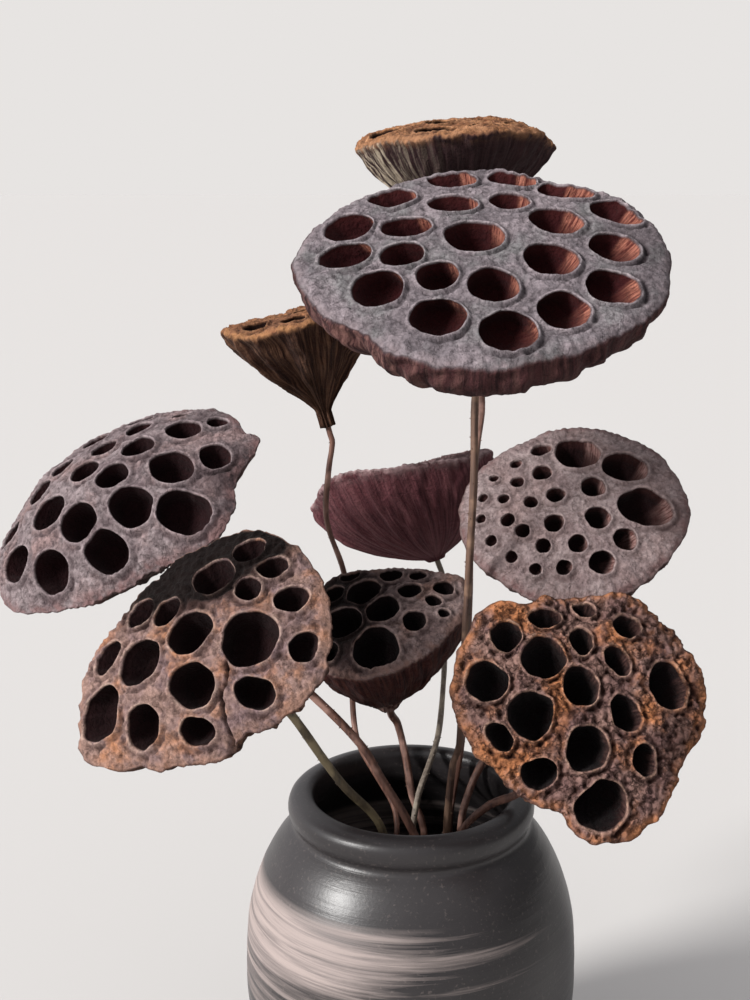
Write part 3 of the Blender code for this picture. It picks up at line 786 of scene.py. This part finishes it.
funnel_skin = pod_skin(
    "fluted lotus skin, umber", skin=("#97694a", "#6f4a36", "#34211a"), stain="#7d543c",
    lip="#a27a5b", edge="#946a48", side=("#23130f", "#3c261d"), rib="#7a5946",
    wall=("#7a4e3c", "#3a201a"), pit="#180d0b")
funnel_pod = grow_pod(FUNNEL, "pod_funnel_grown", funnel_skin, 0.8)
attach(funnel_pod, "root")
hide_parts("pod_funnel")

# ------------------------------------------------------------------------------------
# The far pod, a dark bowl whose face is turned away. Its rim is rubbed to a dusty pink,
# and one corner of the face dried into a point.

BACK = dict(
    centre=(1, 90, 211), facing=(-113, 68), dome=3, neck=(0, 0, 31), side=(2.3, 0.85),
    outline=(33, 32, 33, 34, 33, 32, 33, 33, 31, 32, 35, 34),
    cells=[(23 * cos(radians(15 + 40 * k)), 23 * sin(radians(15 + 40 * k)), 5.5)
           for k in range(9)]
    + [(9 * cos(radians(90 * k)), 9 * sin(radians(90 * k)), 5) for k in range(4)],
    seed=4, ragged=0.7, wobble=0.06, lip=0.7, groove=0.4, crust=0.4, ribs=24, rib_depth=0.9,
    lift=2, bends=[(330, 34, 9), (15, 45, 7)], nubs=[(296, 5, 3.5)], pale=0.5, band=0.6,
    deep=2.0)

back_skin = pod_skin(
    "thin lotus skin, black brown", skin=("#6f5858", "#5a4647", "#2e2021"), stain="#634b4a",
    lip="#a38c8b", edge="#a58c8c", side=("#43252a", "#5c3539"), rib="#744b4e",
    wall=("#5a3a34", "#2c1614"), pit="#12080a")
back_pod = grow_pod(BACK, "pod_back_grown", back_skin, 0.9)
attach(back_pod, "root")
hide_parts("pod_back")

# ------------------------------------------------------------------------------------
# The pod on the left. Its face swelled into a dome as the seeds ripened, and the skin
# over its far corner dried hard, dark and puckered, down to a small stub.

LEFT = dict(
    centre=(-92, 0, 222), facing=(-40, 45), dome=15, neck=(0, 0, 28), side=(1.25, 1.0),
    outline=(44, 44.5, 46, 41, 39, 41, 45.5, 49, 47, 36, 33, 31),
    cells=[(-15, -12, 7), (1, -13, 6.8), (17, -3, 7), (32.6, 1.5, 7.8), (21.5, 13.3, 6.4),
           (30.5, 22.5, 4.5, 1.0, 0), (14, 28.5, 5.2), (5, 4, 5.6), (-9, 4, 5.2),
           (5.5, 16.7, 5.4), (-11, 15, 4.6), (-4, 25.5, 4.6), (-30, -4, 5.4),
           (-37.5, -19.5, 5.7), (-23, -29, 6.4), (-5, -28.5, 6.6), (12.8, -17.6, 6.6),
           (-26, 6, 4.8), (20, 36, 3), (-25, 20, 4.8), (-12, 31, 4.3), (5, 35.5, 3)],
    seed=5, ragged=0.9, wobble=0.025, lip=0.18, groove=0.9, crust=0.85, ribs=24, rib_depth=1.4,
    nubs=[(42, 6, 5), (19, 8, -2.5), (-58, 9, -1.5)], painted_wall_light=0.12, oval=(1.22, 12),
    lumps=[(38, 18, 5, 1.5)], stains_and_painted_shadow=[(41, 20, 12, 0.9), (42, 2, 6, 0.6), (16, 37, 6, 0.4)],
    band=0.8, deep=3.0, pale=0.4)

left_skin = pod_skin(
    "felted lotus skin, mauve", skin=("#8f8283", "#6f6163", "#3a2f31"), stain="#8f7876",
    lip="#a09092", edge="#7a5f5e", side=("#3a2724", "#241716"), rib="#6d4f49",
    wall=("#7a4a40", "#2c1313"), pit="#1f0d0f")
left_pod = grow_pod(LEFT, "pod_left_grown", left_skin)
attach(left_pod, "root")
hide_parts("pod_left")

# ------------------------------------------------------------------------------------
# The ragged pod in front of it. The grey felt has worn off in patches down to the tan
# and orange wood below, and the face is cracked from its one big cell to the edge.

LEFT_FRONT = dict(
    centre=(-58, -56, 195), facing=(-30, 36), dome=9, neck=(2, -2, 25), side=(1.8, 1.0),
    outline=(36.3, 36, 37, 37, 34, 33, 36.5, 44, 43.5, 34, 31, 31),
    cells=[(-26, 6, 5), (-15, 7, 5), (-4, 20, 6.6), (3, 30, 4.8), (9, 18, 4, 1.1, 0),
           (13, 26, 4.1), (22, 18, 4.5), (15.4, 4, 8.4, 1.0, 0), (30.3, 5.5, 4.2, 1.2, 90),
           (-3, 1.8, 6.9), (-17.3, -9, 7.3), (-31, -9, 5.1, 1.35, 60), (2.9, -12.3, 6.7, 1.05, 0),
           (21, -10, 5.1, 1.3, 5), (-26.8, -25.2, 8.1, 1.15, 55), (-10.2, -26, 5.9, 1.1, 80),
           (7, -23.7, 4.6, 1.35, 8)],
    seed=6, ragged=1.1, wobble=0.05, lip=0.2, groove=1.0, crust=1.1, ribs=22, rib_depth=1.6,
    painted_wall_light=0.1, pale=0.5, oval=(1.14, 35), nubs=[(230, 9, 3.5), (253, 7, -2.5), (312, 7, -3)],
    # Painted shadow: these blotches paint the left pod's shadow as a near-black band along the top
    # left.
    stains_and_painted_shadow=[(-29, 12, 11, 1.4), (-15, 20, 15, 1.75), (-2, 28, 15, 1.75), (9, 36, 9, 1.2)],
    cracks=[((11, -4), (12.5, -8), (11.5, -13), (14, -19), (16.5, -23), (16, -29))])

left_front_skin = pod_skin(
    "worn lotus skin, tan", skin=("#977b71", "#7c6768", "#3e2d2a"), stain="#ab7757",
    lip="#b0988b", edge="#957466", side=("#4a322a", "#2c1c19"), rib="#8c6753",
    wall=("#6e4335", "#261110"), pit="#190a0b")
left_front_pod = grow_pod(LEFT_FRONT, "pod_left_front_grown", left_front_skin, 0.7)
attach(left_front_pod, "root")
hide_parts("pod_left_front")

# ------------------------------------------------------------------------------------
# The small pod in the middle, a deep dark bowl. Its cells crowd together until only thin
# pale webs are left between them, and the neck ends in a swollen orange brown collar.

CENTRE = dict(
    centre=(-11, 13, 181), facing=(-25, 58), dome=5, neck=(-3, -6, 38), side=(2.0, 1.0),
    outline=(25, 31, 29, 25, 26, 29, 27, 25, 25, 24, 22, 22),
    cells=[(-19, 7, 4.4), (-8, 9, 6.5), (8, 12, 4.2), (18, 17, 3.6), (17, 10, 2.8),
           (2, 2, 6), (-10, -5, 7), (14, 0, 4), (5, -13, 8), (-2, 19, 4.2), (7, 21, 3),
           (-17, 17, 4), (-11, -17, 4), (22, 6, 2)],
    seed=7, ragged=0.6, wobble=0.05, lip=0.4, groove=0.5, crust=0.7, ribs=20, rib_depth=1.2,
    collar=1.9, painted_wall_light=0.1, pale=0.3, nubs=[(50, 10, 2), (30, 8, -1.5)],
    stains_and_painted_shadow=[(-16, 2, 19, 1.5), (-4, -16, 12, 0.8)])

centre_skin = pod_skin(
    "dark lotus skin, webbed", skin=("#a08c89", "#7c6967", "#2e2222"), stain="#8d6d62",
    lip="#a89088", edge="#846860", side=("#3c1f1d", "#241112"), rib="#6b4238",
    wall=("#4e302a", "#1e0e0e"), pit="#0e0607")
centre_pod = grow_pod(CENTRE, "pod_centre_grown", centre_skin, 0.7)
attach(centre_pod, "root")
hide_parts("pod_centre")

# ------------------------------------------------------------------------------------
# The pod at the back on the right. Only three of its seeds ripened: the other cells stayed
# small when it was cut, and the skin drew in round its lower edge in fine pleats.

RIGHT_BACK = dict(
    centre=(53, 15, 218), facing=(-10, 45), dome=4, neck=(0, -2, 28), side=(1.7, 1.1),
    outline=(36.5, 36, 35, 34, 33, 35, 37, 36, 33.5, 34.3, 33.3, 33.5),
    cells=[(0, 22, 7.4, 1.25, -6), (16, 17, 7, 1.25, -12), (23, 1.5, 8.2, 1.35, -8),
           (-12, 23, 3.2, 1.4, 20), (-20, 17, 2.1),
           (-11, 13, 3.3), (6, 8, 4.2), (-27, 11, 1.7), (-19, 9, 2.4), (-6, 4, 3.2),
           (-30, 3, 1.7), (-23, 2, 2), (-14, 1, 2.4), (8, -4, 4.3), (-30, -5, 1.7),
           (-21, -6, 2.5), (-6, -7, 3.3), (-26, -13, 2), (-16, -10, 2.6), (2, -14, 3.2),
           (17, -11, 4), (-19, -19, 2.1), (-9, -15, 2.6), (-11, -23, 2.1), (-2, -22, 2.7),
           (10, -20, 4.2)],
    seed=8, ragged=0.5, wobble=0.05, lip=0.3, groove=0.45, crust=0.5, ribs=26, rib_depth=1.4,
    pleats=1.3, painted_wall_light=0.9, stains_and_painted_shadow=[(33, -2, 8, 0.5), (-4, -32, 11, 0.4)], flare=0.05,
    pale=0.4)

right_back_skin = pod_skin(
    "smooth lotus skin, pink grey", skin=("#988988", "#857474", "#4f403f"), stain="#907c7a",
    lip="#9f8b88", edge="#6a5150", side=("#4a3432", "#2e2020"), rib="#7a5f59",
    wall=("#9c7d78", "#56332f"), pit="#1a0b0c")
right_back_pod = grow_pod(RIGHT_BACK, "pod_right_back_grown", right_back_skin, 0.8)
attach(right_back_pod, "root")
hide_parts("pod_right_back")

# ------------------------------------------------------------------------------------
# The crusty pod at the front on the right. Its skin broke up as it dried, so the walls
# between the cells stand up as rough orange ridges, and one cell has split the edge.

RIGHT_FRONT = dict(
    centre=(48, -50, 172), facing=(8, 28), dome=6, neck=(0, -3, 26), side=(1.8, 1.0),
    outline=(37.5, 38.3, 39.5, 35.5, 41, 40.5, 35.5, 29.5, 27.8, 34.5, 35.3, 32),
    cells=[(-21, 25, 4.7), (-9, 29.8, 4.1, 1.5, 0), (1, 22.3, 3.9, 1.15, 90), (-11, 18, 6.7),
           (-28, 12, 6.2), (-1, 9, 5.9, 1.15, 90), (15.5, 26, 4, 1.3, -20),
           (11, 16, 4.2, 1.45, -60), (26, 8, 6.8, 1.25, 100), (-16.5, 1.5, 7),
           (11.5, 0.5, 5.2, 1.2, 110), (-25.5, -4, 4, 1.5, -50), (-1, -9, 6.6, 1.05, 90),
           (16, -13, 4.3, 1.35, 95), (-15, -15, 5, 1.2, 0), (2.4, -25.2, 7.6, 1.08, 30),
           (3.5, 32, 3, 1.4, -20)],
    seed=9, ragged=1.5, wobble=0.06, lip=0.25, groove=1.2, crust=1.75, ribs=20, rib_depth=1.8,
    painted_wall_light=0.4, pale=0.5, nubs=[(253, 8, -2.5), (111, 6, -3), (20, 8, 1), (-28, 9, -1)],
    swell=1.3, stains_and_painted_shadow=[(32, -10, 10, 0.55), (36, 6, 5, 0.6), (28, 26, 6, 0.4)])

right_front_skin = pod_skin(
    "crusted lotus skin, orange brown", skin=("#8e7067", "#705653", "#2d1813"),
    stain="#b0734d", lip="#b5937f", edge="#9b6747", side=("#4a2f26", "#2b1a17"),
    rib="#94694f", wall=("#6a4c46", "#2a1614"), pit="#0c0506", worn=0.46, crag=0.75)
right_front_pod = grow_pod(RIGHT_FRONT, "pod_right_front_grown", right_front_skin, 0.65)
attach(right_front_pod, "root")
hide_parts("pod_right_front")

# ------------------------------------------------------------------------------------
# The nine stems. Each is the stalk that carried its pod above the water: it dried thin,
# bent and finely fluted, with small prickles, and it stands loose in the jar.

# Each stem's pod, its radius in mm, and the points that it passes on its way down
STEMS = {
    "top": (TOP, 1.35, [(19, 0, 257), (19, -1, 232), (18, -1, 206), (17, 1, 175), (16, 4, 141),
                       (14, 5, 134), (12, 4, 108), (8, 4, 7)]),
    "top_behind": (TOP_BEHIND, 1.3, [
        (21, 60, 280), (25, 50, 249), (23, 44, 233), (21, 36, 210), (20, 28, 169),
        (18, 22, 135), (16, 21, 121), (14, 20, 106), (15, 22, 60), (16, 24, 7)]),
    "funnel": (FUNNEL, 1.1, [
        (-28, 45, 226), (-29, 48, 207), (-23, 48, 188), (-20, 42, 168), (-20, 33, 149),
        (-18, 24, 134), (-12, 18, 125), (-5, 11, 114), (-5, 6, 103), (-10, 5, 60), (-14, 4, 7)]),
    "back": (BACK, 1.15, [
        (14, 80, 168), (14, 65, 153), (12, 45, 138), (10, 33, 131), (6, 22, 124),
        (3, 16, 118), (1, 11, 109), (-4, 12, 60), (-8, 15, 7)]),
    "left": (LEFT, 1.5, [(-57, 10, 179), (-30, 6, 155), (-16, 2, 141), (-10, 0, 131),
                         (-1, -4, 117), (7, -4, 96), (14, -6, 55), (18, -8, 7)]),
    "left_front": (LEFT_FRONT, 1.5, [
        (-38, -30, 166), (-28, -20, 146), (-22, -17, 136), (-10, -12, 119), (-7, -15, 96),
        (-8, -20, 50), (-8, -23, 7)]),
    "centre": (CENTRE, 1.45, [(-4, 32, 137), (-1, 28, 125), (1, 23, 114), (5, 18, 103),
                             (4, 20, 60), (3, 23, 7)]),
    "right_back": (RIGHT_BACK, 1.45, [
        (54, 35, 167), (39, 28, 141), (28, 21.4, 131.7), (21, 15.8, 121), (17.5, 12.5, 107),
        (21, 12, 60), (26, 10, 7)]),
    "right_front": (RIGHT_FRONT, 1.45, [
        (40, -20, 144), (34, -14, 132), (25, -12, 127), (15, -10, 115), (12, -13, 102),
        (12, -18, 60), (12, -24, 7)]),
}


def stem_route(pod, points):
    """The middle of a stem in mm, from just below its pod's neck down to its foot."""
    right, up, out = face_axes(pod["facing"])
    across, above, depth = pod["neck"]
    neck = Vector(pod["centre"]) + right * across + up * above - out * depth
    knots = [neck - out * drop for drop in (0.35, 3, 6)] + [Vector(p) for p in points]
    slopes = [(c - a).normalized() for a, c in zip([knots[0], *knots[:-1]],
                                                  [*knots[1:], knots[-1]])]
    route = [knots[0]]
    for a, b, leaving, reaching in zip(knots, knots[1:], slopes, slopes[1:]):
        third = (b - a).length / 3
        route += interpolate_bezier(a, a + leaving * third, b - reaching * third, b,
                                    max(4, round(third)))[1:]
    return route


def dried_stalk(name, bark, dark, light):
    """Dried lotus stalk: woody and satin, streaked along its length, with paler patches."""
    material, tree = new_material(name)
    place = add(tree, "ShaderNodeTexCoord").outputs["Object"]
    long = add(tree, "ShaderNodeMapping", {"Vector": place, "Scale": (900, 900, 60)})
    streaks = add(tree, "ShaderNodeTexNoise", {"Vector": long.outputs["Vector"], "Scale": 1.0,
                                               "Detail": 4.0})
    spread = add(tree, "ShaderNodeMapRange", {"Value": streaks.outputs["Fac"],
                                              "From Min": 0.35, "From Max": 0.65})
    colour = add(tree, "ShaderNodeMix", {"Factor": spread.outputs["Result"], "A": tone(bark),
                                         "B": tone(dark)}, data_type="RGBA")
    spots = add(tree, "ShaderNodeTexNoise", {"Vector": place, "Scale": 110.0, "Detail": 3.0})
    patch = add(tree, "ShaderNodeMapRange", {"Value": spots.outputs["Fac"], "From Min": 0.52,
                                             "From Max": 0.64})
    colour = add(tree, "ShaderNodeMix", {"Factor": patch.outputs["Result"],
                                         "A": colour.outputs["Result"], "B": tone(light)},
                 data_type="RGBA")
    bump = add(tree, "ShaderNodeBump", {"Height": streaks.outputs["Fac"], "Strength": 0.5,
                                        "Distance": 0.3 * MM})
    shader = add(tree, "ShaderNodeBsdfPrincipled",
                 {"Base Color": colour.outputs["Result"], "Roughness": 0.62,
                  "Normal": bump.outputs["Normal"], "IOR": 1.45})
    add(tree, "ShaderNodeOutputMaterial", {"Surface": shader.outputs["BSDF"]})
    return material


def stalk_tree():
    """Sweeps a fluted, slightly uneven stalk along a path and scatters prickles on it."""
    tree, given = new_geometry_tree("dried stalk", {
        "Radius": ("NodeSocketFloat", 1.8 * MM), "Seed": ("NodeSocketFloat", 0.0),
        "Prickles Per Square Metre": ("NodeSocketFloat", 30000.0),
        "Prickle Height": ("NodeSocketFloat", 0.7 * MM), "Bark": ("NodeSocketMaterial", None)})
    path = add(tree, "GeometryNodeMeshToCurve", {"Mesh": given.outputs["Geometry"]})
    path = add(tree, "GeometryNodeResampleCurve", {"Curve": path.outputs["Curve"],
                                                   "Length": 1.2 * MM}, mode="LENGTH")
    place = add(tree, "GeometryNodeInputPosition").outputs["Position"]
    swell = add(tree, "ShaderNodeTexNoise", {"Vector": place, "W": given.outputs["Seed"],
                                             "Scale": 55.0, "Detail": 2.0},
                noise_dimensions="4D")
    swell = add(tree, "ShaderNodeMapRange", {"Value": swell.outputs["Fac"], "From Min": 0.25,
                                             "From Max": 0.75, "To Min": 0.82, "To Max": 1.05})
    radius = add(tree, "ShaderNodeMath", {0: given.outputs["Radius"],
                                          1: swell.outputs["Result"]}, operation="MULTIPLY")
    path = add(tree, "GeometryNodeSetCurveRadius", {"Curve": path.outputs["Curve"],
                                                    "Radius": radius.outputs[0]})
    ring = add(tree, "GeometryNodeCurvePrimitiveCircle", {"Resolution": 20, "Radius": 1.0})
    spot = add(tree, "ShaderNodeSeparateXYZ", {"Vector": place})
    turn = add(tree, "ShaderNodeMath", {0: spot.outputs["Y"], 1: spot.outputs["X"]},
               operation="ARCTAN2")
    turn = add(tree, "ShaderNodeMath", {0: turn.outputs[0], 1: 5.0}, operation="MULTIPLY")
    flute = add(tree, "ShaderNodeMath", {0: turn.outputs[0]}, operation="SINE")
    flute = add(tree, "ShaderNodeMath", {0: flute.outputs[0], 1: 0.06, 2: 0.94},
                operation="MULTIPLY_ADD")
    pinched = add(tree, "ShaderNodeVectorMath", {0: place, "Scale": flute.outputs[0]},
                  operation="SCALE")
    ring = add(tree, "GeometryNodeSetPosition", {"Geometry": ring.outputs["Curve"],
                                                 "Position": pinched.outputs["Vector"]})
    stalk = add(tree, "GeometryNodeCurveToMesh", {
        "Curve": path.outputs["Curve"], "Profile Curve": ring.outputs["Geometry"],
        "Scale": add(tree, "GeometryNodeInputRadius").outputs["Radius"], "Fill Caps": True})
    stalk = add(tree, "GeometryNodeSetShadeSmooth", {"Geometry": stalk.outputs["Mesh"]})
    spread = add(tree, "GeometryNodeDistributePointsOnFaces",
                 {"Mesh": stalk.outputs["Geometry"],
                  "Density": given.outputs["Prickles Per Square Metre"], "Seed": 4})
    cone = add(tree, "GeometryNodeMeshCone", {"Vertices": 5, "Radius Bottom": 0.28 * MM,
                                              "Depth": given.outputs["Prickle Height"]})
    sizes = add(tree, "FunctionNodeRandomValue", {2: 0.4, 3: 1.0, "Seed": 9})
    prickles = add(tree, "GeometryNodeInstanceOnPoints", {
        "Points": spread.outputs["Points"], "Instance": cone.outputs["Mesh"],
        "Rotation": spread.outputs["Rotation"], "Scale": sizes.outputs[1]})
    both = add(tree, "GeometryNodeJoinGeometry")
    tree.links.new(stalk.outputs["Geometry"], both.inputs["Geometry"])
    tree.links.new(prickles.outputs["Instances"], both.inputs["Geometry"])
    real = add(tree, "GeometryNodeRealizeInstances", {"Geometry": both.outputs["Geometry"]})
    done = add(tree, "GeometryNodeSetMaterial", {"Geometry": real.outputs["Geometry"],
                                                 "Material": given.outputs["Bark"]})
    add(tree, "NodeGroupOutput", {"Geometry": done.outputs["Geometry"]})
    return tree


stalks = stalk_tree()
red_bark = dried_stalk("dried lotus stalk, red brown", "#6b4a3d", "#472e27", "#85655a")
tan_bark = dried_stalk("dried lotus stalk, tan", "#5d4436", "#3f2c24", "#7a5f4d")
olive_bark = dried_stalk("dried lotus stalk, olive", "#5c503b", "#3a3126", "#75684f")
pale_bark = dried_stalk("dried lotus stalk, straw", "#7d7266", "#564b42", "#958a7a")
barks = {"top": tan_bark, "left_front": olive_bark, "back": pale_bark}  # the rest are red
for number, (key, (pod, radius, points)) in enumerate(STEMS.items()):
    route = [p * MM for p in stem_route(pod, points)]
    line = bpy.data.meshes.new("route")
    line.from_pydata(route, [(i, i + 1) for i in range(len(route) - 1)], [])
    source = bpy.data.objects.new("route", line)
    bpy.context.scene.collection.objects.link(source)
    stem = grown(source, stalks, {"Radius": radius * MM, "Seed": float(number),
                                  "Bark": barks.get(key, red_bark)}, "stem_" + key + "_grown")
    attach(stem, "root")
    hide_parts("stem_" + key)

# ------------------------------------------------------------------------------------
# The stage: a plain pale floor, a soft window light from the left, and the room's own
# light, which is brightest behind and to the left.

floor_mesh = bpy.data.meshes.new("floor")
floor_mesh.from_pydata([(-30, -30, 0), (30, -30, 0), (30, 30, 0), (-30, 30, 0)], [], [(0, 1, 2, 3)])
floor = bpy.data.objects.new("floor", floor_mesh)
bpy.context.scene.collection.objects.link(floor)
paint, paint_tree = new_material("matt white paint")
coat = add(paint_tree, "ShaderNodeBsdfPrincipled", {"Base Color": tone("#bbb9b7"),
                                                    "Roughness": 0.95,
                                                    "Specular IOR Level": 0.1})
add(paint_tree, "ShaderNodeOutputMaterial", {"Surface": coat.outputs["BSDF"]})
floor_mesh.materials.append(paint)

room = bpy.data.worlds.new("room")
bpy.context.scene.world = room
room.use_nodes = True
air = room.node_tree
air.nodes.clear()
heading = add(air, "ShaderNodeVectorMath",
              {0: add(air, "ShaderNodeTexCoord").outputs["Generated"], 1: (-0.75, -0.25, 0.61)},
              operation="DOT_PRODUCT")
glow = add(air, "ShaderNodeMapRange", {"Value": heading.outputs["Value"], "From Min": -0.7,
                                       "From Max": 0.9, "To Min": 0.12, "To Max": 1.2})
lit = add(air, "ShaderNodeBackground", {"Color": tone("#f4f3f6"),
                                        "Strength": glow.outputs["Result"]})
seen = add(air, "ShaderNodeBackground", {"Color": tone("#e7e4e2"), "Strength": 1.0})
ray = add(air, "ShaderNodeLightPath").outputs["Is Camera Ray"]
both = add(air, "ShaderNodeMixShader", {0: ray, 1: lit.outputs[0], 2: seen.outputs[0]})
add(air, "ShaderNodeOutputWorld", {"Surface": both.outputs["Shader"]})

window = bpy.data.lights.new("window", "SUN")
window.energy = 5.6
window.angle = radians(15)
window.color = (1.0, 0.985, 0.965)
window_object = bpy.data.objects.new("window", window)
window_object.rotation_euler = Vector((-0.78, -0.42, 0.47)).to_track_quat("Z", "Y").to_euler()
bpy.context.scene.collection.objects.link(window_object)

camera = bpy.data.cameras.new("camera")
camera.lens = 50
camera.sensor_width = 36
camera.clip_start = 0.01
camera_object = bpy.data.objects.new("camera", camera)
camera_object.location = (-12 * MM, -427 * MM, 324 * MM)
camera_object.rotation_euler = Euler((radians(77), 0, 0))
bpy.context.scene.collection.objects.link(camera_object)
bpy.context.scene.camera = camera_object
bpy.context.scene.view_settings.view_transform = "Standard"
